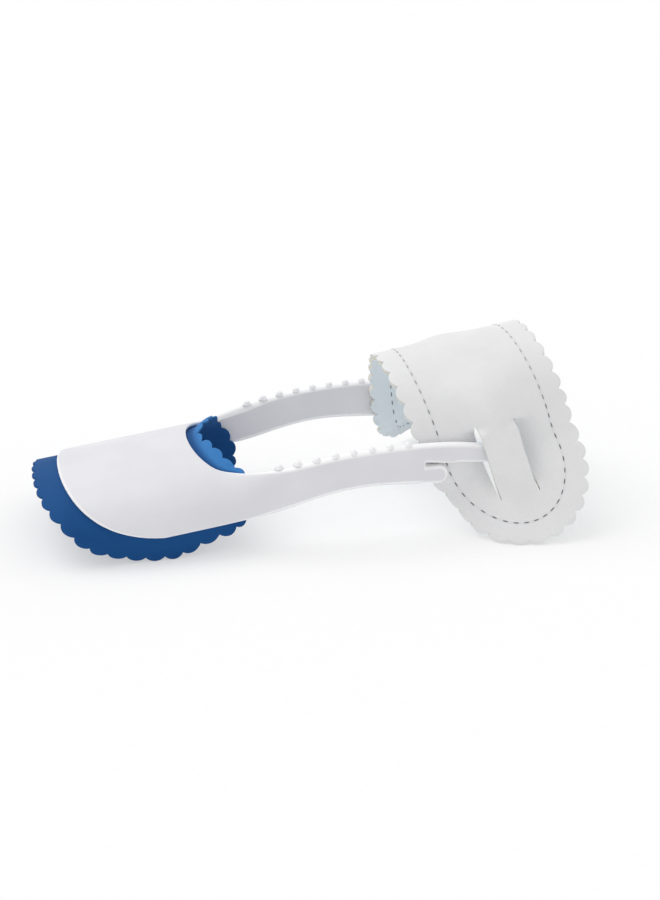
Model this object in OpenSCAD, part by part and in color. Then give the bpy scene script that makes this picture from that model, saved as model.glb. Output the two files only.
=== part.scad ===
// Sock aid: a moulded hood with two arms, a fabric liner inside the hood,
// and a sewn leather strap that rocks on the tongues at the ends of the arms.
// X runs from the hood to the strap, Z is up, the floor is z = 0.

/* [Hood] */
// Outside width of the hood and of the pair of arms
hood_w = 110; // [104:1:118]
// Height of the hood's arch above its lower edge
hood_h = 31.5; // [29:0.5:34]
// Length of the rounded nose of the hood
nose_l = 59.5; // [54:0.5:64]
// Thickness of the hood's wall
wall_t = 2.4; // [2:0.1:3]

/* [Arms] */
// Thickness of an arm
arm_t = 6; // [5:0.5:6]
// Height of the arms' top edge above the floor at its highest
arm_top = 53.6; // [52.6:0.2:55]
// Free length of the tongue past the notch
tongue_l = 48; // [42:1:50]
// Grip nubs on each arm
nub_count = 8; // [5:1:8]
// Diameter of a grip nub
nub_d = 4; // [3:0.2:4.6]

/* [Liner] */
// Thickness of the liner fabric
liner_t = 1.6; // [1.2:0.1:2]
// Thickness of the adhesive film under it
film_t = 0.3; // [0.2:0.05:0.4]
// How far the liner reaches past the hood's nose
liner_lip = 14.4; // [10:0.2:18]

/* [Strap] */
// Width of the strap
strap_w = 89; // [86:1:92]
// Thickness of the leather skin
skin_t = 1; // [0.8:0.1:1.2]
// Thickness of the foam core
foam_t = 2; // [1.6:0.1:2.2]
// Thickness of the lining
lining_t = 0.6; // [0.4:0.1:0.8]
// Length of each slit
slit_l = 46; // [43:1:48]
// Width of the band between two slits
band_w = 22; // [20:1:24]

/* [Seam] */
// Distance from the strap's edge to the seam
seam_inset = 13; // [11:0.5:14]
// Number of stitches round the strap
stitch_count = 88; // [60:1:96]

/* [Hidden] */
$fn = 24;

// Everything is laid out from the strap's pivot side, then moved so that the part is centred
centre_x = 18.7;

// Stations along X: middle of the nose, hood and arm meeting line, notch root
nose_x = -96;
root_x = -56;
notch_x = 41.5;
half_w = hood_w / 2;
// Part of the half arch that the scoop between the arms takes away, and the scoop's depth
scoop_w = 0.54;
scoop_l = 26.5;
// Lower edge: heights at the nose and at the notch, and the stretch where one slope passes into the other
nose_z = 15.3;
notch_z = 29.8;
rise_x = -48;
rise_l = 75;
// Top edge of the arms: its highest station and radius, then a closer curve along the tongue
top_x = 38;
top_r = 450;
tongue_x = 45;
tongue_r = 245;
// Stretches where the arch squares up and where the wall thickens, and where the hood runs into the arms
square_x = -70;
square_l = 90;
thick_x = -76;
thick_l = 42;
join_l = 20;
// Tongue: height of its underside at the notch and rounding of its tip; hook: rounding and reach
tongue_z = 42.8;
tip_r = 4;
hook_r = 5.7;
hook_l = 7.6;
slab_edge = 1.2;
slab_inset = 0.2;
// Grip nubs: first station, pitch, height of the stem and how deep it sits in the arm
nub_x = -39.6;
nub_pitch = 10.2;
nub_h = 1.8;
nub_sink = 2;
// Liner: how far it runs past the nose station towards the arms, and how much less on the crest
rear_l = 46;
rear_cut = 21;

// Strap: half width, straight half length, rounding of its ends, total thickness
strap_hw = strap_w / 2;
strap_s = 82.5;
strap_r = 54;
strap_t = skin_t + foam_t + lining_t;
// Gap between the strap and the arms or tongues
strap_gap = 0.6;
// The strap's arch: half width, height, upright leg and bend of the flared ends
strap_a = half_w - arm_t - strap_gap;
strap_rise = 42.9;
leg_l = 3.4;
strap_bend = 11;
// Longer leg on the side that hangs behind the hooks: extra length, where it starts and its width
hook_leg = 7;
hook_t = 16;
hook_run = 14;
function strap_h(t) = strap_rise - 0.148 * t;
function strap_leg(t) = leg_l - 0.07 * t + hook_leg * ease((-t - hook_t) / hook_run);
// Where the strap sits along X, the tilt of its tunnel and the flare of its legs
strap_x = 84.5;
strap_tilt = 16.6;
splay = 40;
// Half of the gap that a slit leaves
slit_g = 0.6;
slit_s = 61.5;
// How far the band bows out round the tongue
band_bow = arm_t + 2 * strap_gap + strap_t;
// The strap swells above the band, over this length and width, then parts at the slits over bow_top.
// The band comes back to it over bow_low
swell_l = 36;
swell_w = 12;
bow_top = 5;
bow_low = 18;

thread_r = 0.3;

function lerp(a, b, k) = a + (b - a) * k;
function clamp(k) = min(1, max(0, k));
function ease(k) = let (c = clamp(k)) c * c * (3 - 2 * c);
function unit(v) = v / norm(v);
function power(v, e) = pow(max(0, v), e);

// A thin shell on a grid of cells. point(i, j, d) gives its two faces, d = 0 and 1
module shell(rows, cols, point, filled) {
    per_row = cols + 1;
    per_face = (rows + 1) * per_row;
    id = function(i, j, d) d * per_face + i * per_row + j;
    has = function(i, j) i >= 0 && i < rows && j >= 0 && j < cols && filled(i, j);
    quad = function(a, b, c, d) [[a, b, c], [a, c, d]];
    wall = function(i, j, k, l) quad(id(i, j, 0), id(i, j, 1), id(k, l, 1), id(k, l, 0));
    points = [for (d = [0, 1], i = [0:rows], j = [0:cols]) point(i, j, d)];
    faces = [for (i = [0:rows - 1], j = [0:cols - 1]) if (has(i, j)) each concat(
        quad(id(i, j, 0), id(i, j + 1, 0), id(i + 1, j + 1, 0), id(i + 1, j, 0)),
        [for (f = quad(id(i, j, 1), id(i, j + 1, 1), id(i + 1, j + 1, 1), id(i + 1, j, 1)))
            [f[2], f[1], f[0]]],
        has(i - 1, j) ? [] : wall(i, j, i, j + 1),
        has(i + 1, j) ? [] : wall(i + 1, j + 1, i + 1, j),
        has(i, j - 1) ? [] : wall(i + 1, j, i, j),
        has(i, j + 1) ? [] : wall(i, j + 1, i + 1, j + 1))];
    polyhedron(points, faces, convexity = 10);
}

// A closed tube with a square section along a list of [point, side direction]
module tube(path, r) {
    n = len(path);
    at = function(k) path[(k + n) % n][0];
    ring = function(k) let (
        along = unit(unit(at(k + 1) - at(k)) + unit(at(k) - at(k - 1))),
        side = unit(cross(along, path[k][1])),
        up = cross(side, along))
        [for (d = [side, up, -side, -up]) at(k) + d * r];
    points = [for (k = [0:n - 1]) each ring(k)];
    faces = [for (k = [0:n - 1], c = [0:3])
        let (a = 4 * k, b = 4 * ((k + 1) % n), e = (c + 1) % 4)
        each [[a + c, b + e, b + c], [a + c, a + e, b + e]]];
    polyhedron(points, faces, convexity = 10);
}

// Lower edge of the hood and arms, and top edge of the arms
function base_z(x) = lerp(nose_z + 0.12 * (x - nose_x), notch_z - 0.07 * (x - notch_x), ease((x - rise_x) / rise_l));
function top_z(x) = arm_top - pow(x - top_x, 2) / (2 * top_r) - pow(max(0, x - tongue_x), 2) / (2 * tongue_r);
// The arch squares up from the hood to the upright arms
function arch_n(x) = lerp(2.2, 12, ease((x - square_x) / square_l));
function frame_t(x) = lerp(wall_t, arm_t, ease((x - thick_x) / thick_l));

// Outside of the arch at station x, w = 0 on the crest and 1 on the lower edge,
// moved inward by off. Past the lower edge it drops straight to the floor at w = 1 + drop
drop = 0.22;
function arch(x, w, off) =
    let (n = arch_n(x), v = abs(w), s = sign(w), a = 90 * (1 - min(v, 1)),
         y = half_w * power(cos(a), 2 / n), z = hood_h * power(sin(a), 2 / n),
         across = unit([power(y / half_w, n - 1) / half_w, power(z / hood_h, n - 1) / hood_h]),
         floor_k = clamp((v - 1) / drop))
    [x, s * (y - off * across[0]), (base_z(x) * (1 - floor_k)) + z - off * across[1]];

// Columns of the hood: arm columns on each side of the scoop columns
arm_cols = 7;
scoop_cols = 12;
hood_cols = 2 * arm_cols + scoop_cols;
hood_rows = 16;
arm_rows = 18;
function column(j) =
    j < arm_cols ? lerp(-1, -scoop_w, (1 - cos(180 * j / arm_cols)) / 2) :
    j > arm_cols + scoop_cols ? -column(hood_cols - j) :
    lerp(-scoop_w, scoop_w, (j - arm_cols) / scoop_cols);

// Nose and scoop edges of the hood at column w
function nose_edge(w) = nose_x - nose_l * sqrt(1 - pow(w * 0.992, 2));
function scoop_edge(w) = root_x - scoop_l * power(1 - power(abs(w) / scoop_w, 1.9), 1 / 1.9);
function hood_x(i, w) = lerp(nose_edge(w), scoop_edge(w), i / hood_rows);

// A point of an arm at station x and height fraction v, off inside its outer face
function arm_point(x, v, side, off) =
    let (z = lerp(base_z(x), top_z(x), v), n = arch_n(x), h = clamp((z - base_z(x)) / hood_h),
         y = half_w * power(1 - pow(h, n), 1 / n),
         lean = unit([power(y / half_w, n - 1) / half_w, pow(h, n - 1) / hood_h]))
    [x, side * (y - off * lean[0]), z - off * lean[1]];

// The hood's wall at station x and column w, running into the arms where they meet
function wall_point(x, w, off) =
    let (v = (1 - abs(w)) / (1 - scoop_w),
         k = ease((x - root_x) / join_l + 1) * ease((abs(w) - 0.35) / (scoop_w - 0.35)))
    k == 0 || abs(w) > 1 ? arch(x, w, off) : lerp(arch(x, w, off), arm_point(x, v, sign(w), off), k);

// Part of the thickness that the rounded top edge of an arm takes off each face
function rim(v) = (1 - sqrt(1 - pow(0.95 * clamp((v - 0.8) / 0.2), 2))) / 2;
function frame_point(i, j, d) =
    let (w = column(j), v = (1 - abs(w)) / (1 - scoop_w), arm_x = lerp(root_x, notch_x, (i - hood_rows) / arm_rows),
         x = i <= hood_rows ? hood_x(i, w) : arm_x, edge = rim(v) * ease((x - root_x) / join_l + 1),
         off = frame_t(x) * (d == 0 ? edge : 1 - edge))
    wall_point(x, w, off);

// A flat piece with chamfered edges, from its outline
module slab(thick, edge) {
    hull() {
        linear_extrude(thick) offset(delta = -edge) children();
        translate([0, 0, edge]) linear_extrude(thick - 2 * edge) children();
    }
}

// Tongue and the hook under it, seen from the side. Both start inside the arm
start_x = notch_x - 10;
module tongue() {
    tip_x = notch_x + tongue_l;
    mid_x = lerp(notch_x, tip_x, 0.5);
    under = function(x) tongue_z - 0.11 * (x - notch_x);
    tip_z = (top_z(tip_x - tip_r) + under(tip_x - tip_r)) / 2;
    polygon([[start_x, tongue_z], [start_x, top_z(start_x) - slab_edge], [notch_x, top_z(notch_x)],
             [mid_x, top_z(mid_x)], [tip_x - tip_r, tip_z + tip_r * 1.15], [tip_x - tip_r, tip_z - tip_r],
             [notch_x, tongue_z]]);
    translate([tip_x - tip_r, tip_z]) circle(tip_r);
}

module hook() {
    hook_x = notch_x + hook_l;
    hook_z = base_z(hook_x) + 0.9 * hook_r;
    polygon([[start_x, base_z(start_x) + slab_edge], [notch_x, base_z(notch_x)], [hook_x, hook_z - hook_r],
             [hook_x, hook_z + hook_r], [start_x, hook_z + hook_r]]);
    translate([hook_x, hook_z]) circle(hook_r);
}

module frame() {
    slab_t = arm_t - 2 * slab_inset;
    color("whitesmoke") union() {
        shell(hood_rows + arm_rows, hood_cols, function(i, j, d) frame_point(i, j, d) + [centre_x, 0, 0],
              function(i, j) i < hood_rows || j < arm_cols || j >= arm_cols + scoop_cols);
        for (side = [-1, 1]) {
            translate([centre_x, side * (half_w - arm_t / 2) + slab_t / 2, 0]) rotate([90, 0, 0]) {
                slab(slab_t, slab_edge) tongue();
                slab(slab_t, slab_edge) hook();
            }
            for (k = [0:nub_count - 1]) {
                x = nub_x + nub_pitch * k;
                top = arm_point(x, 1, side, frame_t(x) / 2);
                translate([x + centre_x, top[1], top[2] - nub_sink]) {
                    cylinder(d = nub_d, h = nub_h);
                    translate([0, 0, nub_h]) sphere(d = nub_d);
                }
            }
        }
    }
}

// Liner grid: the hood's own columns and rows, with margins past the nose, the scoop and the lower edges
lip_rows = 2;
drop_cols = 5;
liner_rows = hood_rows + lip_rows + 1;
liner_cols = hood_cols + 2 * drop_cols;
function liner_w(j) =
    j < drop_cols ? -1 - drop * (1 - j / drop_cols) :
    j > hood_cols + drop_cols ? -liner_w(liner_cols - j) : column(j - drop_cols);
function liner_nose(w) =
    let (n = 2 + 0.35 * ease((abs(w) - 0.6) / 0.5))
    nose_x - (nose_l + liner_lip) * power(1 - power(abs(w) * 0.992 / (1 + drop), n), 1 / n);
function liner_rear(w) = nose_x + rear_l * sqrt(1 - pow(abs(w) * 0.992 / (1 + drop), 6))
    - rear_cut * max(0, 1 - pow(w / scoop_w, 2));
function liner_x(i, w) =
    let (v = min(1, abs(w)), k = i - lip_rows,
         edge = k < 0 ? lerp(liner_nose(v), nose_edge(v), i / lip_rows) :
             k > hood_rows ? max(scoop_edge(v) + 2, liner_rear(v)) : hood_x(k, v),
         first = liner_nose(1), last = max(scoop_edge(1) + 2, liner_rear(1)))
    abs(w) <= 1 ? edge : lerp(liner_nose(w), liner_rear(w), (edge - first) / (last - first));

module hood_liner() {
    color("steelblue") shell(liner_rows, liner_cols, function(i, j, d)
        let (w = liner_w(j), x = liner_x(i, w))
        wall_point(x, w, frame_t(x) + film_t + d * liner_t) + [centre_x, 0, 0],
        function(i, j) true);
}

module liner_film() {
    color("lightgray") shell(hood_rows, hood_cols, function(i, j, d)
        let (w = column(j), x = hood_x(i, w)) wall_point(x, w, frame_t(x) + d * film_t) + [centre_x, 0, 0],
        function(i, j) i > 0 && i < hood_rows - 1 && j > 0 && j < hood_cols - 1);
}

// The strap's arch at t across it, measured along it from the crest: [y, z, normal y, normal z]
function strap_curve(s, t) =
    let (v = abs(s), side = sign(s), r = strap_bend * 180 / PI / splay, h = strap_h(t), l = strap_leg(t),
         quarter = PI / 2 * sqrt((strap_a * strap_a + h * h) / 2),
         a = 90 * min(1, v / quarter), leg = v - quarter, b = clamp((leg - l) / strap_bend) * splay,
         past = max(0, leg - l - strap_bend), up = unit([sin(a) / strap_a, cos(a) / h]))
    leg <= 0 ? [side * strap_a * sin(a), h * cos(a), side * up[0], up[1]] :
    [side * (strap_a + r * (1 - cos(b)) + past * sin(b)),
     -min(leg, l) - r * sin(b) - past * cos(b), side * cos(b), sin(b)];

// How far the strap stands out at s, t: the band goes outside the tongue and its sides go inside
function bow(s, t, in_band) =
    let (f = abs(s) - slit_s, top = band_bow * exp(-pow(t / swell_w, 2)))
    f <= 0 ? top * ease(1 + f / swell_l) :
    in_band ? lerp(top, band_bow, ease(f / bow_top)) * ease((slit_l - f) / bow_low) :
    top * (1 - ease(f / bow_top));

// A point of the strap, s along it and t across it on the flat pattern, off below its outside
function strap_point(s, t, off, in_band = false) =
    let (c = strap_curve(s, t), d = off - bow(s, t, in_band), y = c[0] - d * c[2], z = c[1] - d * c[3])
    [centre_x + strap_x + t * cos(strap_tilt) - z * sin(strap_tilt), y,
     strap_z + t * sin(strap_tilt) + z * cos(strap_tilt)];

// Grid of the strap: side columns, one column for each slit, band columns
side_cols = 6;
band_cols = 4;
strap_cols = 2 * side_cols + band_cols + 2;
band_hw = band_w / 2;
function strap_col(j) =
    j <= side_cols ? lerp(-strap_hw, -band_hw - slit_g, 1 - cos(90 * j / side_cols)) :
    j <= side_cols + 1 + band_cols ? lerp(slit_g - band_hw, band_hw - slit_g, (j - side_cols - 1) / band_cols) :
    -strap_col(strap_cols - j);

// Rows: crest, then shoulder, slit and end on each side
crest_rows = 12;
slit_rows = 10;
leg_rows = 2 + slit_rows + 3;
strap_rows = crest_rows + 2 * leg_rows;
shoulder_s = 54;
function end_s(t) = strap_s + strap_r * sqrt(1 - pow(t / strap_hw, 2));
function leg_k(i) =
    let (l = end_s(band_hw) - shoulder_s, a = (slit_s - shoulder_s) / l, b = a + slit_l / l)
    i <= 2 ? a * i / 2 : i <= 2 + slit_rows ? lerp(a, b, pow((i - 2) / slit_rows, 1.3)) :
    lerp(b, 1, (i - 2 - slit_rows) / 3);
function strap_row(i, t, off) =
    let (m = i - strap_rows / 2, k = abs(m) - crest_rows / 2)
    k <= 0 ? shoulder_s * 2 * m / crest_rows :
    sign(m) * lerp(shoulder_s, end_s(t) - off * tan(splay) * pow(leg_k(k), 4), leg_k(k));
// Height of the strap at which its lowest corner touches the floor
strap_z = -min([for (j = [0:strap_cols]) let (t = strap_col(j))
    t * sin(strap_tilt) + strap_curve(end_s(t), t)[1] * cos(strap_tilt)]);
function slit(i, j) =
    let (k = abs(i + 0.5 - strap_rows / 2) - crest_rows / 2 - 2)
    (j == side_cols || j == strap_cols - side_cols - 1) && k > 0 && k < slit_rows;

module strap_layer(top, thick) {
    shell(strap_rows, strap_cols, function(i, j, d)
        let (t = -strap_col(j), off = top + d * thick)
        strap_point(strap_row(i, t, off), t, off, j > side_cols && j < strap_cols - side_cols),
        function(i, j) !slit(i, j));
}

module strap_skin() {
    color("white") strap_layer(0, skin_t);
}

module strap_foam() {
    color("ivory") strap_layer(skin_t, foam_t);
}

module strap_lining() {
    color("lightsteelblue") strap_layer(skin_t + foam_t, lining_t);
}

// The seam's path on the flat pattern: two straight sides and two rounded ends, k from 0 to 1
seam_t = strap_hw - seam_inset;
seam_r = strap_r - seam_inset;
seam_end = 180 * sqrt((seam_t * seam_t + seam_r * seam_r) / 2) * PI / 180;
function seam(k) =
    let (l = 2 * strap_s + seam_end, d = (k - floor(k)) * 2 * l, m = d % l, turn = d < l ? 1 : -1,
         a = (m - 2 * strap_s) / seam_end * 180)
    m < 2 * strap_s ? [turn * (m - strap_s), -turn * seam_t] :
    [turn * (strap_s + seam_r * sin(a)), -turn * seam_t * cos(a)];

// One thread of the seam: each stitch lies at offset lie and turns back at offset deep inside the foam
module thread(lie, deep, shift) {
    path = [for (n = [0:stitch_count - 1], c = [[0.06, deep], [0.14, lie], [0.86, lie], [0.94, deep]])
        let (p = seam((n + c[0] + shift) / stitch_count), here = strap_point(p[0], p[1], c[1]))
        [here, unit(strap_point(p[0], p[1], c[1] - 1) - here)]];
    tube(path, thread_r);
}

module needle_thread() {
    color("gainsboro") thread(-0.1, skin_t + 0.35 * foam_t, 0);
}

module bobbin_thread() {
    color("gainsboro") thread(strap_t + 0.1, skin_t + 0.75 * foam_t, 0);
}

frame();
hood_liner();
liner_film();
strap_skin();
strap_foam();
strap_lining();
needle_thread();
bobbin_thread();
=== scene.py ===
import bpy
import bmesh
from math import sin, cos, tan, exp, pi, sqrt, radians, hypot
from mathutils import Matrix, Vector
from mathutils.kdtree import KDTree


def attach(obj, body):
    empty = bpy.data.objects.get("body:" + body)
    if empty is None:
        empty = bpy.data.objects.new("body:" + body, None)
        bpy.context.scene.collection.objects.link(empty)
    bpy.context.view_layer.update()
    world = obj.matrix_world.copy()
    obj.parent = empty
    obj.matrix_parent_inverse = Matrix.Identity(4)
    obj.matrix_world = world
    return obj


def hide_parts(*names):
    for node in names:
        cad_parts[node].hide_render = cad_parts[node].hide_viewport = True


# Sock aid: moulded hood with two arms, blue liner in the hood, sewn strap on the arms' tongues.
# Sizes are in millimetres as in the part's source, and each mesh is scaled to metres when it is done.
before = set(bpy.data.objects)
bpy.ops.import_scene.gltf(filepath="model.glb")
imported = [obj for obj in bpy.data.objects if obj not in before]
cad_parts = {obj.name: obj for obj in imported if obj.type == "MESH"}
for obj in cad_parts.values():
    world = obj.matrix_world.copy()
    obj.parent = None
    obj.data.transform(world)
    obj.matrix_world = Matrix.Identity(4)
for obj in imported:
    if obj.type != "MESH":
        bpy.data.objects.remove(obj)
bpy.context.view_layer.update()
mm = 0.001
mapScale = 0.01  # cloth map units in a millimetre
centreX = 18.7
print("frame loaded:", ", ".join(sorted(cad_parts)))


def lerp(a, b, k):
    return a + (b - a) * k


def clamp(k):
    return min(1.0, max(0.0, k))


def ease(k):
    k = clamp(k)
    return k * k * (3 - 2 * k)


def root(v, e):
    return max(0.0, v) ** e


def sign(v):
    return -1 if v < 0 else 1


def unit(a, b):
    size = hypot(a, b) or 1.0
    return a / size, b / size


# Camera

shot = dict(pitch=0.40452, yaw=0.22543, roll=-0.00961, distance=860.5, aimZ=32.35, lens=59.46, sensor=36)


def makeCamera():
    turn = Matrix.Rotation(-shot["yaw"], 3, "Z")
    pitch, roll = shot["pitch"], shot["roll"]
    right = turn @ Vector((1, 0, 0))
    up = turn @ Vector((0, sin(pitch), cos(pitch)))
    back = turn @ Vector((0, -cos(pitch), sin(pitch)))
    sideways = cos(roll) * right + sin(roll) * up
    upright = cos(roll) * up - sin(roll) * right
    place = Matrix((sideways, upright, back)).transposed().to_4x4()
    place.translation = (back * shot["distance"] + Vector((centreX, 0, shot["aimZ"]))) * mm
    lens = bpy.data.cameras.new("camera")
    lens.lens, lens.sensor_width, lens.sensor_fit = shot["lens"], shot["sensor"], "AUTO"
    lens.clip_start, lens.clip_end = 0.01, 100
    camera = bpy.data.objects.new("camera", lens)
    camera.matrix_world = place
    bpy.context.scene.collection.objects.link(camera)
    bpy.context.scene.camera = camera


makeCamera()
print("camera set")


# Finishes

class Sock:
    # A shader socket that takes part in Python sums
    def __init__(self, finish, out):
        self.finish, self.out = finish, out

    def __add__(self, other):
        return self.finish.maths("ADD", self, other)

    def __sub__(self, other):
        return self.finish.maths("SUBTRACT", self, other)

    def __rsub__(self, other):
        return self.finish.maths("SUBTRACT", other, self)

    def __mul__(self, other):
        return self.finish.maths("MULTIPLY", self, other)

    __radd__ = __add__
    __rmul__ = __mul__


class Finish:
    def __init__(self, name):
        self.material = bpy.data.materials.new(name)
        self.material.use_nodes = True
        self.tree = self.material.node_tree
        self.shader = self.tree.nodes["Principled BSDF"]

    def node(self, kind, settings=None, sockets=None, out=0):
        made = self.tree.nodes.new("ShaderNode" + kind)
        for key, value in (settings or {}).items():
            setattr(made, key, value)
        for key, value in (sockets or {}).items():
            self.put(made.inputs[key], value)
        return Sock(self, made.outputs[out])

    def put(self, socket, value):
        if isinstance(value, Sock):
            self.tree.links.new(value.out, socket)
        elif socket.type == "RGBA":
            socket.default_value = (*value[:3], 1)
        else:
            socket.default_value = value

    def maths(self, operation, a, b):
        return self.node("Math", dict(operation=operation), {0: a, 1: b})

    def sine(self, a):
        return self.node("Math", dict(operation="SINE"), {0: a})

    def span(self, value, low, high, toLow=0.0, toHigh=1.0):
        return self.node("MapRange", dict(interpolation_type="SMOOTHSTEP"),
                         {0: value, 1: low, 2: high, 3: toLow, 4: toHigh})

    def mix(self, factor, a, b):
        return self.node("Mix", dict(data_type="RGBA"), {0: factor, 6: a, 7: b}, out=2)

    def objectPlace(self):
        return self.node("TexCoord", out="Object")

    def part(self, place, axis):
        return self.node("SeparateXYZ", None, {0: place}, out=axis)

    def weave(self, pitch):
        # Over and under of a plain weave on the cloth map, from 0 to 1
        cloth = self.node("UVMap", dict(uv_map="cloth"))
        turns = 2 * pi / (mapScale * pitch)
        over, under = (self.sine(self.part(cloth, axis) * turns) for axis in (0, 1))
        return over * under * 0.5 + 0.5

    def attribute(self, name):
        return self.node("Attribute", dict(attribute_name=name), out="Fac")

    def noise(self, place, scale, detail=3.0, rough=0.5):
        sockets = {"Vector": place, "Scale": scale, "Detail": detail, "Roughness": rough}
        return self.node("TexNoise", None, sockets)

    def cells(self, place, scale, feature="F1", smooth=None):
        sockets = {"Vector": place, "Scale": scale}
        if smooth is not None:
            sockets["Smoothness"] = smooth
        return self.node("TexVoronoi", dict(feature=feature), sockets, out="Distance")

    def bump(self, height, strength):
        # The height is in metres
        return self.node("Bump", None, {"Strength": strength, "Distance": 1.0, "Height": height})

    def apply(self, colour, rough, **extra):
        names = dict(normal="Normal", specular="Specular IOR Level", sheen="Sheen Weight", ior="IOR")
        self.put(self.shader.inputs["Base Color"], colour)
        self.put(self.shader.inputs["Roughness"], rough)
        for key, value in extra.items():
            self.put(self.shader.inputs[names[key]], value)
        return self.material


def srgb(*levels):
    # Linear colour from screen levels of 0 to 255
    shares = [c / 255 for c in levels]
    return tuple(c / 12.92 if c <= 0.04045 else ((c + 0.055) / 1.055) ** 2.4 for c in shares)


# rim is the colour of a painted highlight on the frame's rounded edges, the arms' beads and the nubs
plastic = dict(light=srgb(230, 230, 234), shade=srgb(225, 225, 230), rim=srgb(254, 254, 255), rough=0.36)


def whitePlastic():
    f = Finish("whitePlastic")
    place = f.objectPlace()
    cloud = f.noise(place, 28, 2)
    grain = f.noise(place, 2600, 2, 0.6)
    rim = f.attribute("rim")
    colour = f.mix(f.span(cloud, 0.35, 0.65), plastic["light"], plastic["shade"])
    # Painted highlight: the rim attribute mixes the frame's edges, beads and nubs towards the white rim
    # colour
    colour = f.mix(f.span(rim, 0.05, 0.7), colour, plastic["rim"])
    rough = plastic["rough"] + 0.10 * cloud + 0.08 * grain - 0.08 * rim
    flow = f.noise(place, 60, 1)
    height = grain * 0.00002 + flow * 0.00008
    return f.apply(colour=colour, rough=rough, normal=f.bump(height, 0.5), ior=1.49)


leather = dict(light=srgb(235, 235, 236), shade=srgb(230, 230, 231), creaseShade=srgb(214, 214, 216), rough=0.52)


def whiteLeather():
    f = Finish("whiteLeather")
    place = f.objectPlace()
    cloud = f.noise(place, 40, 3)
    pebble = f.cells(place, 900, "SMOOTH_F1", 0.35)
    pore = f.cells(place, 2100, "F1")
    wrinkle = f.noise(place, 320, 4, 0.6)
    gap = f.attribute("seamGap")
    groove = f.span(gap * gap, 0.0, 0.8, 1.0, 0.0)
    colour = f.mix(f.span(cloud, 0.3, 0.7), leather["light"], leather["shade"])
    # Painted shade: the grain's creases and the seam's groove are mixed towards the darker crease colour
    colour = f.mix(f.span(pebble, 0.45, 0.8, 0.0, 0.12), colour, leather["creaseShade"])
    colour = f.mix(groove * 0.3, colour, leather["creaseShade"])
    height = pebble * -0.00004 + pore * 0.00001 + wrinkle * 0.00004 - groove * 0.0003
    rough = leather["rough"] + 0.16 * cloud - 0.08 * pebble
    return f.apply(colour=colour, rough=rough, normal=f.bump(height, 0.55), specular=0.4)


foam = dict(light=srgb(232, 230, 216), shade=srgb(206, 203, 184), rough=0.85)


def creamFoam():
    f = Finish("creamFoam")
    place = f.objectPlace()
    pores = f.cells(place, 1500, "F1")
    lumps = f.noise(place, 700, 3)
    colour = f.mix(f.span(pores, 0.1, 0.6), foam["shade"], foam["light"])
    colour = f.mix(f.span(lumps, 0.3, 0.7, 0.0, 0.4), colour, foam["light"])
    height = pores * 0.0002 + lumps * 0.0001
    return f.apply(colour=colour, rough=foam["rough"] + 0.1 * lumps, normal=f.bump(height, 0.7))


# The lining's colours are painted paler than the cloth, painted light that makes up for the shade inside the
# strap
lining = dict(light=srgb(236, 244, 248), shade=srgb(221, 231, 237), rough=0.75, pitch=0.75)


def wovenLining():
    f = Finish("wovenLining")
    weave = f.weave(lining["pitch"])
    place = f.objectPlace()
    cloud = f.noise(place, 55, 3)
    fuzz = f.noise(place, 1800, 3, 0.7)
    colour = f.mix(f.span(weave, 0.1, 0.9), lining["shade"], lining["light"])
    colour = f.mix(f.span(cloud, 0.35, 0.7, 0.0, 0.35), colour, lining["light"])
    height = weave * 0.00012 + fuzz * 0.00006
    return f.apply(colour=colour, rough=lining["rough"] + 0.15 * fuzz, normal=f.bump(height, 0.6),
                   sheen=0.15)


# collar is the paler colour of the painted light on the liner's collar and lip front
nylon = dict(light=srgb(16, 84, 146), shade=srgb(8, 62, 118), collar=srgb(62, 132, 200),
             rough=0.62, pitch=0.9)


def blueNylon():
    f = Finish("blueNylon")
    weave = f.weave(nylon["pitch"])
    place = f.objectPlace()
    cloud = f.noise(place, 34, 3)
    yarn = f.noise(place, 1400, 3, 0.65)
    # Painted light: the collar, which stands clear of the hood, is painted paler as if lit from above, and
    # the front of the lip a little paler too
    paintedLight = f.attribute("collar") + 0.08 * f.span(f.part(place, 0), -0.120, -0.150)
    colour = f.mix(f.span(weave, 0.05, 0.85), nylon["shade"], nylon["light"])
    colour = f.mix(f.span(cloud, 0.4, 0.75, 0.0, 0.4), colour, nylon["shade"])
    colour = f.mix(f.span(yarn, 0.55, 0.8, 0.0, 0.35), colour, nylon["light"])
    colour = f.mix(paintedLight * f.attribute("outer") * 0.85, colour, nylon["collar"])
    height = weave * 0.00014 + yarn * 0.00008
    rough = nylon["rough"] + 0.1 * cloud + 0.1 * yarn
    return f.apply(colour=colour, rough=rough, normal=f.bump(height, 0.5), specular=0.2)


thread = dict(light=srgb(122, 122, 126), shade=srgb(74, 74, 78), crest=srgb(184, 184, 186), rough=0.6)


def greyThread():
    f = Finish("greyThread")
    place = f.objectPlace()
    ply = f.noise(place, 3200, 2, 0.6)
    colour = f.mix(f.span(ply, 0.35, 0.65), thread["shade"], thread["light"])
    # The stitches on the crest lie in the light
    colour = f.mix(f.span(f.part(place, 2), 0.05, 0.085, 0.0, 0.7), colour, thread["crest"])
    return f.apply(colour=colour, rough=thread["rough"] + 0.15 * ply,
                   normal=f.bump(ply * 0.00012, 0.8), sheen=0.2)


film = dict(light=srgb(206, 208, 208), shade=srgb(188, 190, 190), rough=0.3)


def glueFilm():
    f = Finish("glueFilm")
    place = f.objectPlace()
    blots = f.noise(place, 160, 3)
    colour = f.mix(f.span(blots, 0.35, 0.65), film["light"], film["shade"])
    return f.apply(colour=colour, rough=film["rough"] + 0.2 * blots,
                   normal=f.bump(blots * 0.0002, 0.5))


# Meshes

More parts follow.
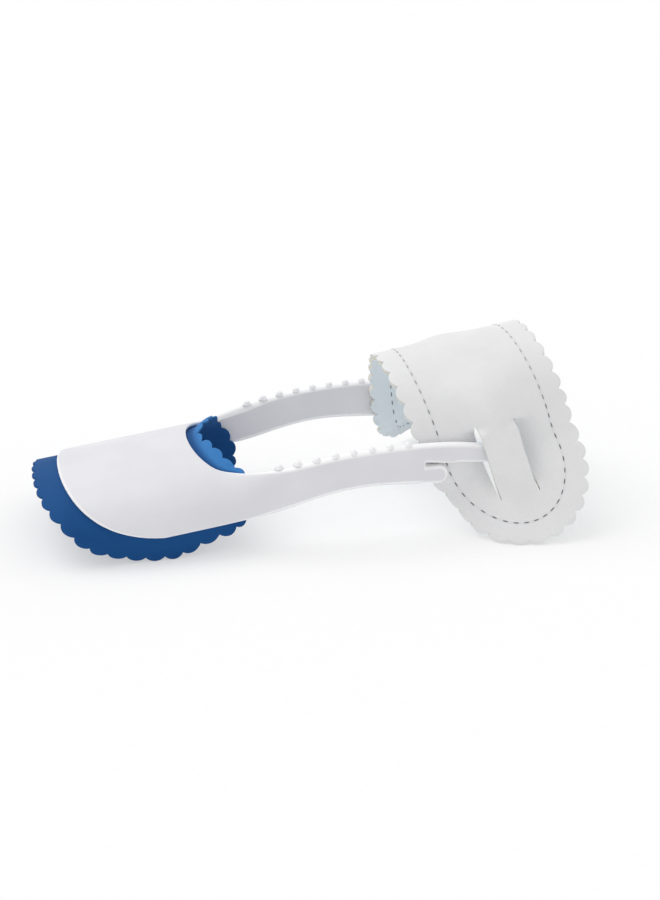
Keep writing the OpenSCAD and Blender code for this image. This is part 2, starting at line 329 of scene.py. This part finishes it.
def finishPiece(bm, name, material, body):
    bmesh.ops.scale(bm, vec=(mm, mm, mm), verts=bm.verts)
    mesh = bpy.data.meshes.new(name)
    for face in bm.faces:
        face.smooth = True
    bm.to_mesh(mesh)
    bm.free()
    mesh.materials.append(material)
    piece = bpy.data.objects.new(name, mesh)
    bpy.context.scene.collection.objects.link(piece)
    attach(piece, body)
    print(name, len(mesh.polygons), "faces")
    return piece


def thicken(bm, thick, edge):
    # Gives a flat sheet its wall below z = 0, with rounded edges all round
    made = bmesh.ops.extrude_face_region(bm, geom=bm.faces[:])["geom"]
    lower = [v for v in made if isinstance(v, bmesh.types.BMVert)]
    bmesh.ops.translate(bm, vec=(0, 0, -thick), verts=lower)
    bmesh.ops.recalc_face_normals(bm, faces=bm.faces)
    bm.normal_update()

    def lies(face):
        return abs(face.normal.z) > 0.5

    rims = [e for e in bm.edges
            if len(e.link_faces) == 2 and lies(e.link_faces[0]) != lies(e.link_faces[1])]
    bmesh.ops.bevel(bm, geom=rims, offset=edge, segments=2, profile=0.5, affect="EDGES", material=-1,
                    clamp_overlap=False)


sheet = dict(rimRows=(0.16, 0.31, 0.46, 0.6, 0.73, 1), normalReach=6, easings=400,
             straightFrom=4, straightRun=18, straightWidth=30, straightFade=12)


def flatPlace(a, b, off):
    return Vector((a, b, off))


def evenSpots(outline, count, place):
    # Points at even distances along a closed outline, as measured where place puts it
    spots = [place(a, b, 0) for a, b in outline]
    runs = [0.0]
    for k, spot in enumerate(spots):
        runs.append(runs[-1] + (spots[(k + 1) % len(spots)] - spot).length)
    even, k = [], 0
    for n in range(count):
        goal = runs[-1] * n / count
        while runs[k + 1] <= goal:
            k += 1
        part = (goal - runs[k]) / (runs[k + 1] - runs[k])
        even.append(Vector(outline[k]).lerp(Vector(outline[(k + 1) % len(outline)]), part))
    return even, runs[-1]


def scallopedSheet(outline, place, sides, perScallop, depth, margin, columns=None, cut=None):
    # A grid inside a closed outline, with rows along its rim. The rim points are evenly spaced on the
    # curved sheet and scalloped
    n1, n2 = sides
    count = 2 * (n1 + n2)
    rim, total = evenSpots(outline, count, place)
    turn = sign(sum(rim[n - 1].cross(rim[n]) for n in range(count)))
    pitch = total * perScallop / count
    radius = (pitch * pitch / 4 + depth * depth) / (2 * depth)
    print("rim", round(total, 1), "mm,", count // perScallop, "scallops")

    def inside(n, reach):
        # The way into the sheet from a rim point
        run = rim[(n + reach) % count] - rim[n - reach]
        return Vector(unit(-run.y * turn, run.x * turn))

    def scalloped(n):
        x = pitch * ((n + perScallop // 2) % perScallop / perScallop - 0.5)
        return rim[n] + inside(n, 1) * (radius - sqrt(radius * radius - x * x))

    inner = [rim[n] + inside(n, sheet["normalReach"]) * margin for n in range(count)]

    # The rim points along the four sides of the grid
    def south(i):
        return (i - n1 // 2) % count

    def east(j):
        return (n1 // 2 + j) % count

    def north(i):
        return (n1 // 2 + n2 + n1 - i) % count

    def west(j):
        return (-(n1 // 2) - j) % count

    fraction = columns or (lambda j: j / n2)
    wide = max(spot.y for spot in inner)
    corners = [inner[south(0)], inner[south(n1)], inner[north(0)], inner[north(n1)]]
    bm = bmesh.new()
    bmesh.ops.create_grid(bm, x_segments=n1, y_segments=n2, size=0.5)
    mark = bm.verts.layers.int.new("rimPoint")
    for v in bm.verts:
        i, j = round((v.co.x + 0.5) * n1), round((v.co.y + 0.5) * n2)
        p, q = i / n1, fraction(j)
        flat = (inner[south(i)] * (1 - q) + inner[north(i)] * q
                + inner[west(j)] * (1 - p) + inner[east(j)] * p
                - corners[0] * (1 - p) * (1 - q) - corners[1] * p * (1 - q)
                - corners[2] * (1 - p) * q - corners[3] * p * q)
        if columns:
            # The columns beside the slits stay straight up to near the ends
            goal = lerp(-wide, wide, q)
            along = ease((min(i, n1 - i) - sheet["straightFrom"]) / sheet["straightRun"])
            across = ease((sheet["straightWidth"] - abs(goal)) / sheet["straightFade"])
            flat.y = lerp(flat.y, goal, along * across)
        v.co = (flat.x, flat.y, 0)
        v[mark] = south(i) if j == 0 else north(i) if j == n2 else west(j) if i == 0 else east(j)
    if not columns:
        # Eases the rows apart where the outline turns inwards
        free = [v for v in bm.verts if not v.is_boundary]
        for k in range(sheet["easings"]):
            bmesh.ops.smooth_vert(bm, verts=free, factor=0.5, use_axis_x=True, use_axis_y=True)
    edge = [e for e in bm.edges if e.is_boundary]
    for part in sheet["rimRows"]:
        made = bmesh.ops.extrude_edge_only(bm, edges=edge)["geom"]
        edge = [e for e in made if isinstance(e, bmesh.types.BMEdge) and e.is_boundary]
        for v in made:
            if isinstance(v, bmesh.types.BMVert):
                spot = inner[v[mark]].lerp(scalloped(v[mark]), part)
                v.co = (spot.x, spot.y, 0)
    bm.verts.layers.int.remove(mark)
    if cut:
        middle = [(f, f.calc_center_median()) for f in bm.faces]
        gone = [f for f, c in middle if cut(c.x, c.y)]
        bmesh.ops.delete(bm, geom=gone, context="FACES")
    return bm


def roundedLoop(loop, count, reach):
    # Spaces a closed outline evenly, then takes the sharpness off its corners
    even = evenSpots(loop, count, flatPlace)[0]
    width = 2 * reach + 1
    return [tuple(sum((even[(n + m) % count] for m in range(-reach, reach + 1)), Vector((0, 0))) / width)
            for n in range(count)]


def layCloth(bm, place):
    # Keeps the flat pattern as the cloth map, then bends the sheet into place
    cloth = bm.loops.layers.uv.new("cloth")
    for face in bm.faces:
        for loop in face.loops:
            loop[cloth].uv = loop.vert.co.xy * mapScale
    for v in bm.verts:
        v.co = place(v.co.x, v.co.y, -v.co.z)


# Hood and arms

hood = dict(halfWidth=55, height=31.5, wall=2.4, noseX=-96, noseLength=59.5, noseShare=0.992, noseZ=15.3,
            noseSlope=0.12, rootX=-56, scoop=0.54, scoopDepth=26.5, scoopPower=1.9, riseX=-48,
            riseLength=75, roundPower=2.2, squarePower=12, squareX=-70, squareLength=90, thickX=-76,
            thickLength=42, joinFrom=0.35, joinLength=20, drop=0.22)
arm = dict(thick=6, top=53.6, topX=38, topRadius=450, baseSlope=0.07, edgeShare=0.47, notchX=41.5,
           notchZ=29.8, notchMiddle=41.4, notchReach=5, notchRadius=1.0, notchEnd=56, tongueLength=48,
           tongueX=45, tongueRadius=245, tongueZ=42.8, tongueSlope=0.11, tipRadius=4, hookRadius=5.7,
           hookReach=7.6, hookTop=40.1)
bead = dict(above=1.9, half=1.0, height=0.3, paintedShine=0.9)
nub = dict(count=8, first=-39.6, pitch=10.2, radius=2.0, height=1.7, sunk=0.9, paintedShine=0.5)


def baseZ(x):
    low = hood["noseZ"] + hood["noseSlope"] * (x - hood["noseX"])
    high = arm["notchZ"] - arm["baseSlope"] * (x - arm["notchX"])
    return lerp(low, high, ease((x - hood["riseX"]) / hood["riseLength"]))


def topZ(x):
    return (arm["top"] - (x - arm["topX"]) ** 2 / (2 * arm["topRadius"])
            - max(0, x - arm["tongueX"]) ** 2 / (2 * arm["tongueRadius"]))


def archPower(x):
    return lerp(hood["roundPower"], hood["squarePower"], ease((x - hood["squareX"]) / hood["squareLength"]))


def wallAt(x):
    return lerp(hood["wall"], arm["thick"], ease((x - hood["thickX"]) / hood["thickLength"]))


def archPoint(x, w, off):
    # w is 0 on the crest, 1 on the lower edge, and 1 + drop on the floor
    n, share = archPower(x), min(abs(w), 1)
    a = pi / 2 * (1 - share)
    wide, high = hood["halfWidth"], hood["height"]
    y, z = wide * root(cos(a), 2 / n), high * root(sin(a), 2 / n)
    out, up = unit(root(y / wide, n - 1) / wide, root(z / high, n - 1) / high)
    fall = max(0, (abs(w) - 1) / hood["drop"])
    return Vector((x + centreX, sign(w) * (y - off * out), baseZ(x) * (1 - fall) + z - off * up))


def armPoint(x, z, side, off):
    n, wide, high = archPower(x), hood["halfWidth"], hood["height"]
    h = clamp((z - baseZ(x)) / high)
    y = wide * root(1 - h ** n, 1 / n)
    out, up = unit(root(y / wide, n - 1) / wide, h ** (n - 1) / high)
    return Vector((x + centreX, side * (y - off * out), z - off * up))


def wallPoint(x, w, off):
    # The round hood runs on into the upright arms
    v, start = (1 - abs(w)) / (1 - hood["scoop"]), hood["joinFrom"]
    k = ease((x - hood["rootX"]) / hood["joinLength"] + 1)
    k *= ease((abs(w) - start) / (hood["scoop"] - start))
    if k == 0 or abs(w) > 1:
        return archPoint(x, w, off)
    return archPoint(x, w, off).lerp(armPoint(x, lerp(baseZ(x), topZ(x), v), sign(w), off), k)


def noseEdge(w):
    return hood["noseX"] - hood["noseLength"] * sqrt(1 - (w * hood["noseShare"]) ** 2)


def scoopEdge(w):
    n = hood["scoopPower"]
    return hood["rootX"] - hood["scoopDepth"] * root(1 - (abs(w) / hood["scoop"]) ** n, 1 / n)


def steps(low, high, count, close=()):
    # Even steps from low to high with closer ones at the end of the run
    even = [lerp(low, high, k / count) for k in range(count + 1)]
    return even + list(close)


# Where the rows of the grid lie on the hood, the arms, the tongues and the hooks
rimSteps = [0, 0.0018, 0.006, 0.013, 0.024, 0.04]
hoodRows = rimSteps[:-1] + steps(0.04, 0.96, 26) + [1 - s for s in rimSteps[-2::-1]]
armRun = arm["notchX"] - hood["rootX"]
armRows = [s / armRun for s in steps(0, 94.5, 38, (95.9, 96.8, 97.2, armRun))]
tongueRows = [0.006, 0.016, 0.035] + steps(0.07, 0.93, 22, (0.955, 0.974, 0.988, 0.996, 1))
hookRows = [0.025, 0.07, 0.15, 0.28, 0.42, 0.56, 0.7, 0.8, 0.88, 0.94, 0.975, 0.992, 1]
# Heights of the arm's columns above its lower edge: hook, notch, tongue
armColumns = [0, 0.15, 0.5, 1.1, 2, 3.2, 5.4, 7.6, 9.2, 10, 10.3,
              13, 13.3, 14.1, 15.6, 18, 20.6, 21.8, 22.7, 23.3, 23.65, 23.8]
hookTopColumn, tongueColumn, scoopColumns, beadColumns = 10, 11, 28, 7
hoodLast, armLast = len(hoodRows) - 1, len(hoodRows) + len(armRows) - 2
columnLast = len(armColumns) - 1
gridRows, gridColumns = armLast + len(tongueRows), 2 * columnLast + scoopColumns


def bulge(share):
    # Half round from 0 at one edge through 1 in the middle to 0 at the other
    return sqrt(max(0, 1 - (2 * share - 1) ** 2))


def frameStation(i, j):
    # The station of grid point i, j as a function of the depth below the outer face
    m = min(j, gridColumns - j)
    side = -1 if j < gridColumns / 2 else 1
    if m <= columnLast:
        v = armColumns[m] / armColumns[-1]
        w = side * (1 - v * (1 - hood["scoop"]))
    else:
        v, w = 0, hood["scoop"] * sin(pi * (j - gridColumns / 2) / scoopColumns)
    notchX = arm["notchX"]
    if i <= hoodLast:
        far = scoopEdge(w) if m > columnLast else hood["rootX"]
        x = lerp(noseEdge(w), far, hoodRows[i])
        return x, lambda off: wallPoint(x, w, off)
    if i <= armLast:
        x = lerp(hood["rootX"], notchX, armRows[i - hoodLast])
        return x, lambda off: wallPoint(x, w, off)
    k = i - armLast - 1
    if m >= tongueColumn:
        start = armColumns[tongueColumn] / armColumns[-1]
        share = (v - start) / (1 - start)
        end = notchX + arm["tongueLength"] - arm["tipRadius"] * (1 - bulge(share))
        x = lerp(notchX, end, tongueRows[k])
        z = lerp(arm["tongueZ"] - arm["tongueSlope"] * (x - notchX), topZ(x), share)
    else:
        share = v / (armColumns[hookTopColumn] / armColumns[-1])
        end = notchX + arm["hookReach"] + arm["hookRadius"] * bulge(share)
        x = lerp(notchX, end, hookRows[min(k, len(hookRows) - 1)])
        z = lerp(baseZ(x), arm["hookTop"], share)
    return x, lambda off: armPoint(x, z, side, off)


def frameGrid():
    # The flat grid with the scoop, the notches and the ends past the hooks taken out
    bm = bmesh.new()
    bmesh.ops.create_grid(bm, x_segments=gridRows, y_segments=gridColumns, size=0.5)
    for v in bm.verts:
        v.co = (round((v.co.x + 0.5) * gridRows), round((v.co.y + 0.5) * gridColumns), 0)
    gone = []
    for face in bm.faces:
        c = face.calc_center_median()
        m = min(c.y, gridColumns - c.y)
        inScoop = m > columnLast and c.x > hoodLast
        inNotch = hookTopColumn < m < tongueColumn and c.x > armLast
        pastHook = m < hookTopColumn and c.x > armLast + len(hookRows)
        if inScoop or inNotch or pastHook:
            gone.append(face)
    bmesh.ops.delete(bm, geom=gone, context="FACES")
    return bm


def rimGaps(bm, middle):
    # Distance of each point from the rim
    rim = []
    for e in bm.edges:
        if e.is_boundary:
            a, b = middle[e.verts[0]], middle[e.verts[1]]
            parts = max(1, round((b - a).length / 0.1))
            rim += [a.lerp(b, k / parts) for k in range(parts + 1)]
    tree = KDTree(len(rim))
    for k, p in enumerate(rim):
        tree.insert(p, k)
    tree.balance()
    return {v: tree.find(p)[2] for v, p in middle.items()}


def makeFrame():
    bm = frameGrid()
    edge = bm.verts.layers.float.new("rim")
    spots = {v: frameStation(round(v.co.x), round(v.co.y)) for v in bm.verts}
    middle = {v: spot(wallAt(x) / 2) for v, (x, spot) in spots.items()}
    gap = rimGaps(bm, middle)
    made = bmesh.ops.extrude_face_region(bm, geom=bm.faces[:])["geom"]
    inner = [v for v in made if isinstance(v, bmesh.types.BMVert)]
    grid = {(round(v.co.x), round(v.co.y)): v for v in spots}
    moved = {}
    for v in list(spots) + inner:
        deep = v not in spots
        twin = grid[round(v.co.x), round(v.co.y)] if deep else v
        x, spot = spots[twin]
        thick, d = wallAt(x), gap[twin]
        # The edges of the wall are fully rounded, but those of the notch only a little
        nearNotch = clamp(1 - abs(middle[twin].z - arm["notchMiddle"]) / arm["notchReach"])
        nearNotch *= ease((x - arm["notchX"] + 6) / 4) * (1 - ease((x - arm["notchEnd"]) / 6))
        radius = lerp(arm["edgeShare"] * thick, arm["notchRadius"], nearNotch)
        rest = max(0, radius - d)
        sink = radius - sqrt(radius * radius - rest * rest)
        # Painted highlight: the share of the white rim colour, full on the very edge and gone a radius in
        paintedHighlight = 1 - clamp(d / radius)
        if min(v.co.y, gridColumns - v.co.y) < beadColumns:
            # A fine bead runs along the lower edge of each arm, with a painted highlight on its crest in
            # place of the edge highlight
            onArm = ease((x - hood["rootX"]) / 16) * ease((arm["notchX"] - x) / 6)
            swell = 1 - clamp(abs(d - bead["above"]) / bead["half"])
            paintedHighlight = lerp(paintedHighlight, bead["paintedShine"] * swell, onArm)
            sink -= bead["height"] * swell * onArm
        moved[v] = spot(thick - sink if deep else sink), paintedHighlight
    for v, (place, paintedHighlight) in moved.items():
        v.co = place
        v[edge] = paintedHighlight
    # Grip nubs along the top of each arm, painted towards the white of the edge highlight
    for side in (-1, 1):
        for k in range(nub["count"]):
            x = nub["first"] + nub["pitch"] * k
            seat = armPoint(x, topZ(x), side, wallAt(x) / 2)
            top = armPoint(x, topZ(x), side, 0.06 * wallAt(x))
            for v in addNub(bm, Vector((seat.x, seat.y, max(seat.z, top.z)))):
                v[edge] = nub["paintedShine"]
    bmesh.ops.recalc_face_normals(bm, faces=bm.faces)
    return bm


def addNub(bm, seat):
    r, h, low = nub["radius"], nub["height"], -nub["sunk"]
    profile = [(0, low), (r * 1.35, low), (r * 1.12, -0.35), (r * 1.02, 0.15), (r * 0.98, h * 0.35),
               (r * 0.9, h * 0.58), (r * 0.7, h * 0.81), (r * 0.4, h * 0.95), (0, h)]
    line = [bm.verts.new(seat + Vector((a, 0, b))) for a, b in profile]
    edges = [bm.edges.new(pair) for pair in zip(line, line[1:])]
    before = set(bm.verts)
    bmesh.ops.spin(bm, geom=line + edges, cent=seat, axis=(0, 0, 1), angle=2 * pi, steps=16, use_merge=True)
    fresh = [v for v in bm.verts if v not in before] + line
    bmesh.ops.remove_doubles(bm, verts=fresh, dist=0.001)
    return [v for v in fresh if v.is_valid]


frameShell = finishPiece(makeFrame(), "frameShell", whitePlastic(), "frame")
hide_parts("frame")


# Liner

liner = dict(thick=1.6, film=0.3, lip=14.4, noseSquare=0.35, rear=-76, nearRun=22, nearPower=0.9, nearTurn=5,
             farStep=5, farRun=24, heel=(1.09, 1.18), heelRun=33.6, across=70, curl=4.5, collarFrom=2,
             collarRun=9, paleRun=5, scallop=12, depth=2.4, margin=4.5, edge=0.3, grid=(168, 108))


def linerNose(w):
    n = 2 + liner["noseSquare"] * ease((abs(w) - 0.6) / 0.5)
    reach = hood["noseLength"] + liner["lip"]
    share = abs(w) * hood["noseShare"] / (1 + hood["drop"])
    return hood["noseX"] - reach * root(1 - root(share, n), 1 / n)


def linerRear(w):
    # Shorter on the crest, a little turned in the hood, and cut away upwards behind the heel corners
    v, heel = abs(w), liner["heel"][0 if w < 0 else 1]
    back = liner["rear"]
    if w < 0:
        back += liner["nearRun"] * min(1, v / hood["scoop"]) ** liner["nearPower"] - 2 * v
        back -= liner["nearTurn"] * ease((v - 0.97) / 0.12)
    else:
        back += liner["farStep"] * ease(v / 0.3) + liner["farRun"] * min(1, v)
    return back - liner["heelRun"] * sqrt(max(0, v - heel) / (1 + hood["drop"] - heel))


def collarShare(a, w, run):
    # 0 under the hood, 1 on the collar that stands in the scoop
    return ease((a - scoopEdge(w) - liner["collarFrom"]) / run)


def linerPlace(a, b, off):
    # a runs along X and b across the arch, so the pattern is close to the flat cloth. The collar is free
    w = b / liner["across"]
    free = collarShare(a, w, liner["collarRun"]) * ease((w + 0.45) / 0.5) * ease((0.9 - w) / 0.5)
    return wallPoint(a, w, wallAt(a) + liner["film"] + off - liner["curl"] * free)


def linerOutline():
    most = 1 + hood["drop"]
    turns = [most * sin(pi / 2 * k / 120) for k in range(-120, 121)]
    nose = [(linerNose(w), w * liner["across"]) for w in turns]
    rear = [(linerRear(w), w * liner["across"]) for w in reversed(turns)]
    return roundedLoop(nose[120:] + rear + nose[:120], 400, 5)


def makeLiner():
    bm = scallopedSheet(linerOutline(), linerPlace, liner["grid"], liner["scallop"], liner["depth"],
                        liner["margin"])
    thicken(bm, liner["thick"], liner["edge"])
    outer, collar = bm.verts.layers.float.new("outer"), bm.verts.layers.float.new("collar")
    for v in bm.verts:
        v[outer] = clamp(1 + v.co.z / liner["thick"])
        # Painted light and shade: the collar share paints the collar paler as if lit, and leaves a darker
        # band along the hood's rim as a painted shadow
        v[collar] = collarShare(v.co.x, v.co.y / liner["across"], liner["paleRun"])
    layCloth(bm, linerPlace)
    return bm


linerCloth = finishPiece(makeLiner(), "linerCloth", blueNylon(), "frame")
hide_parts("hood_liner")

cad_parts["liner_film"].data.materials.clear()
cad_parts["liner_film"].data.materials.append(glueFilm())


# Strap

strap = dict(halfWidth=44.5, straight=82.5, end=54, skin=1, core=2, lining=0.6, gap=0.6, rise=42.9,
             crestSlope=0.148, leg=3.4, legSlope=0.07, bend=11, hookLeg=7, hookT=16, hookRun=14, x=84.5,
             tilt=radians(16.6), splay=(radians(40), radians(44)), slitStart=61.5, slitLength=46,
             slitGap=0.6, band=22, bowTop=5, bowLow=18, swellLength=48, swellWidth=12, swellGrow=(6, 25),
             soften=14, dip=(1.2, 3.0), dipWidth=7, dipTop=7, dipLow=16, farFrom=30, farRun=100,
             farTurn=12, farLift=4, gather=6, gatherT=(26, 18), gatherS=(80, 25), shoulder=54,
             scallop=12, depth=2.8, margin=9, edge=0.22, coreEdge=0.1, liningEdge=0.14,
             grid=(252, 84), bandColumns=9)
strapArch = hood["halfWidth"] - arm["thick"] - strap["gap"]
strapThick = strap["skin"] + strap["core"] + strap["lining"]
bandBow = arm["thick"] + 2 * strap["gap"] + strapThick


def strapCurve(s, t, soften=0):
    # The arch at t across it, s along it from the crest: y, z and the outward normal
    v, side, wide = abs(s), sign(s), strapArch
    splay = strap["splay"][0 if s < 0 else 1]
    bend = strap["bend"] + soften
    r = bend / splay
    h = strap["rise"] - strap["crestSlope"] * t
    straight = strap["leg"] - strap["legSlope"] * t
    straight += strap["hookLeg"] * ease((-t - strap["hookT"]) / strap["hookRun"])
    quarter = pi / 2 * sqrt((wide * wide + h * h) / 2)
    leg = v - quarter
    if leg <= 0:
        a = pi / 2 * v / quarter
        out, up = unit(sin(a) / wide, cos(a) / h)
        return side * wide * sin(a), h * cos(a), side * out, up
    b = clamp((leg - straight) / bend) * splay
    past = max(0, leg - straight - bend)
    return (side * (wide + r * (1 - cos(b)) + past * sin(b)),
            -min(leg, straight) - r * sin(b) - past * cos(b), side * cos(b), sin(b))


def strapEnd(t):
    return strap["straight"] + strap["end"] * sqrt(max(0, 1 - (t / strap["halfWidth"]) ** 2))


strapZ = -min(t * sin(strap["tilt"]) + strapCurve(-strapEnd(t), t)[1] * cos(strap["tilt"])
              for t in [k / 2 for k in range(-89, 90)])


def strapBow(s, t):
    # The strap swells above the band. The band goes outside the tongue, the sides inside
    f = abs(s) - strap["slitStart"]
    left, (grow, run) = strap["slitLength"] - f, strap["swellGrow"]
    top = bandBow * exp(-(t / (strap["swellWidth"] + grow * clamp(-f / run))) ** 2)
    if f <= 0:
        return top * ease(1 + f / strap["swellLength"])
    if abs(t) < strap["band"] / 2:
        return lerp(top, bandBow, ease(f / strap["bowTop"])) * ease(left / strap["bowLow"])
    dip = strap["dip"][0 if t < 0 else 1] * exp(-((abs(t) - strap["band"] / 2) / strap["dipWidth"]) ** 2)
    dip *= ease(f / strap["dipTop"]) * ease(left / strap["dipLow"])
    return top * (1 - ease(f / strap["bowTop"])) - dip


def strapSection(s, t, depth, soften=0):
    # y and z of the arch at a depth below its outer face
    y, z, ny, nz = strapCurve(s, t, soften)
    return Vector((y - depth * ny, z - depth * nz))


def strapPlace(s, t, off):
    # The layers end level with each other on the floor
    k = clamp((abs(s) - strap["shoulder"]) / (strapEnd(t) - strap["shoulder"]))
    level = sign(s) * off * tan(strap["splay"][0 if s < 0 else 1]) * k ** 5
    depth = off - strapBow(s, t)
    spot = strapSection(s - level, t, depth)
    f = abs(s) - strap["slitStart"]
    if abs(t) < strap["band"] / 2 and 0 < f < strap["slitLength"]:
        # The band turns more gently than the sides
        gentle = strapSection(s - level, t, depth, strap["soften"])
        spot = spot.lerp(gentle, ease((strap["slitLength"] - f) / strap["bowLow"]))
    y, z = spot
    c, n = cos(strap["tilt"]), sin(strap["tilt"])
    # The far flap hangs forward of the near one and higher, and the near front margin is gathered in
    far = ease((s - strap["farFrom"]) / strap["farRun"])
    (fromT, runT), (fromS, runS) = strap["gatherT"], strap["gatherS"]
    turn = strap["farTurn"] * far - strap["gather"] * ease((-t - fromT) / runT) * ease((-s - fromS) / runS)
    return Vector((centreX + strap["x"] + t * c - z * n - turn, y,
                   strapZ + t * n + z * c + strap["farLift"] * far))


def strapOutline():
    wide, half = strap["straight"], strap["halfWidth"]
    side = [(wide * k / 60, -half) for k in range(60)]
    end = [(wide + strap["end"] * sin(pi * k / 180), -half * cos(pi * k / 180)) for k in range(180)]
    loop = side + end + [(wide * (1 - k / 60), half) for k in range(60)]
    return loop + [(-s, -t) for s, t in loop]


def strapColumn(j):
    # Column edges meet the two slits
    half, last = strap["grid"][1] // 2, strap["bandColumns"]
    inside, outside = strap["band"] / 2 - strap["slitGap"], strap["band"] / 2 + strap["slitGap"]
    m, reach = abs(j - half), strap["halfWidth"] - strap["margin"]
    t = inside * m / last if m <= last else lerp(outside, reach, (m - last - 1) / (half - last - 1))
    return 0.5 + sign(j - half) * t / reach / 2


def inSlit(s, t):
    f = abs(s) - strap["slitStart"]
    return abs(abs(t) - strap["band"] / 2) < strap["slitGap"] and 0 < f < strap["slitLength"]


seam = dict(inset=13, count=88, length=3.2, radius=0.34, flat=0.8, proud=0.05, step=0.002)
seamT, seamR = strap["halfWidth"] - seam["inset"], strap["end"] - seam["inset"]
seamEnd = pi * sqrt((seamT ** 2 + seamR ** 2) / 2)


def seamGap(s, t):
    # Distance from the seam, less than 0 inside it
    past = abs(s) - strap["straight"]
    if past <= 0:
        return abs(t) - seamT
    a, b = past / seamR, t / seamT
    rho = hypot(a, b)
    return (rho - 1) * rho / hypot(a / seamR, b / seamT) if rho > 1e-6 else -seamT


def seamSpot(k):
    # The spot at a share k of the way round the seam
    straight = 2 * strap["straight"]
    run = straight + seamEnd
    d = (k % 1) * 2 * run
    m, turn = d % run, 1 if d < run else -1
    if m < straight:
        return turn * (m - strap["straight"]), -turn * seamT
    a = (m - straight) / seamEnd * pi
    return turn * (strap["straight"] + seamR * sin(a)), -turn * seamT * cos(a)


def makeStrapLayer(lift, thick, edge):
    # The scallops are evenly cut on the flat leather
    bm = scallopedSheet(strapOutline(), flatPlace, strap["grid"], strap["scallop"], strap["depth"],
                        strap["margin"], columns=strapColumn, cut=inSlit)
    thicken(bm, thick, edge)
    gap = bm.verts.layers.float.new("seamGap")
    for v in bm.verts:
        v[gap] = seamGap(v.co.x, v.co.y)
        v.co.z -= lift
    layCloth(bm, strapPlace)
    return bm


def makeStitches(off):
    bm = bmesh.new()
    for n in range(seam["count"]):
        k = (n + 0.5) / seam["count"]
        spots = [strapPlace(*seamSpot(k + turn * seam["step"]), off) for turn in (-1, 0, 1)]
        up = (strapPlace(*seamSpot(k), off - 1) - spots[1]).normalized()
        along = (spots[2] - spots[0]).normalized()
        across = up.cross(along).normalized()
        up = along.cross(across)
        thick = seam["radius"]
        turn = Matrix((along * seam["length"] / 2, across * thick, up * thick * seam["flat"])).transposed()
        place = turn.to_4x4()
        place.translation = spots[1]
        bmesh.ops.create_uvsphere(bm, u_segments=6, v_segments=6, radius=1,
                                  matrix=place @ Matrix.Rotation(pi / 2, 4, "Y"))
    bmesh.ops.recalc_face_normals(bm, faces=bm.faces)
    return bm


def dressStrap():
    skin, core, under = strap["skin"], strap["core"], strap["lining"]
    leatherLayer = makeStrapLayer(0, skin, strap["edge"])
    coreLayer = makeStrapLayer(skin, core, strap["coreEdge"])
    liningLayer = makeStrapLayer(skin + core, under, strap["liningEdge"])
    leatherPiece = finishPiece(leatherLayer, "strapLeather", whiteLeather(), "strap")
    corePiece = finishPiece(coreLayer, "strapCore", creamFoam(), "strap")
    liningPiece = finishPiece(liningLayer, "strapLining", wovenLining(), "strap")
    threadFinish, proud = greyThread(), seam["proud"]
    topRow = finishPiece(makeStitches(-proud), "seamNeedleThread", threadFinish, "strap")
    lowRow = finishPiece(makeStitches(strapThick + proud), "seamBobbinThread", threadFinish, "strap")
    rows = ((leatherPiece, "strap_skin"), (corePiece, "strap_foam"), (liningPiece, "strap_lining"),
            (topRow, "needle_thread"), (lowRow, "bobbin_thread"))
    for piece, node in rows:
        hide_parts(node)


dressStrap()
print("strap dressed")


# Floor and light

studio = dict(floor=8.0, sky=0.74, white=0.45, sun=1.0, sunTurn=(-20, -26, 0), sunSpread=45)


def makeStudio():
    scene = bpy.context.scene
    scene.view_settings.view_transform = "Standard"
    bm = bmesh.new()
    bmesh.ops.create_grid(bm, x_segments=8, y_segments=8, size=studio["floor"])
    mesh = bpy.data.meshes.new("floor")
    bm.to_mesh(mesh)
    bm.free()
    floor = bpy.data.objects.new("floor", mesh)
    floor.location.z = -0.0002
    scene.collection.objects.link(floor)
    f = Finish("floorPaper")
    paper = f.noise(f.objectPlace(), 300, 2)
    f.apply(colour=f.mix(paper, (0.97, 0.97, 0.975), (1, 1, 1)), rough=0.9, specular=0.1)
    # The floor shows white to the camera and in gloss, and keeps its shadows
    rays = [f.node("LightPath", out=name) for name in ("Is Camera Ray", "Is Glossy Ray")]
    seen = f.maths("MAXIMUM", *rays)
    white = f.node("Emission", None, {"Color": (1, 1, 1)})
    both = f.node("MixShader", None, {0: seen * studio["white"], 1: Sock(f, f.shader.outputs[0]), 2: white})
    f.put(f.tree.nodes["Material Output"].inputs["Surface"], both)
    mesh.materials.append(f.material)
    world = bpy.data.worlds.new("studio")
    scene.world = world
    world.use_nodes = True
    tree = world.node_tree
    path = tree.nodes.new("ShaderNodeLightPath")
    seen = tree.nodes.new("ShaderNodeMath")
    seen.operation = "MAXIMUM"
    tree.links.new(path.outputs["Is Camera Ray"], seen.inputs[0])
    tree.links.new(path.outputs["Is Glossy Ray"], seen.inputs[1])
    level = tree.nodes.new("ShaderNodeMapRange")
    tree.links.new(seen.outputs[0], level.inputs[0])
    level.inputs[3].default_value, level.inputs[4].default_value = studio["sky"], 1.0
    tree.links.new(level.outputs[0], tree.nodes["Background"].inputs["Strength"])
    tree.nodes["Background"].inputs["Color"].default_value = (1, 1, 1, 1)
    lamp = bpy.data.lights.new("softSun", "SUN")
    lamp.energy, lamp.angle = studio["sun"], radians(studio["sunSpread"])
    sun = bpy.data.objects.new("softSun", lamp)
    sun.rotation_euler = [radians(a) for a in studio["sunTurn"]]
    scene.collection.objects.link(sun)


makeStudio()
print("studio set")
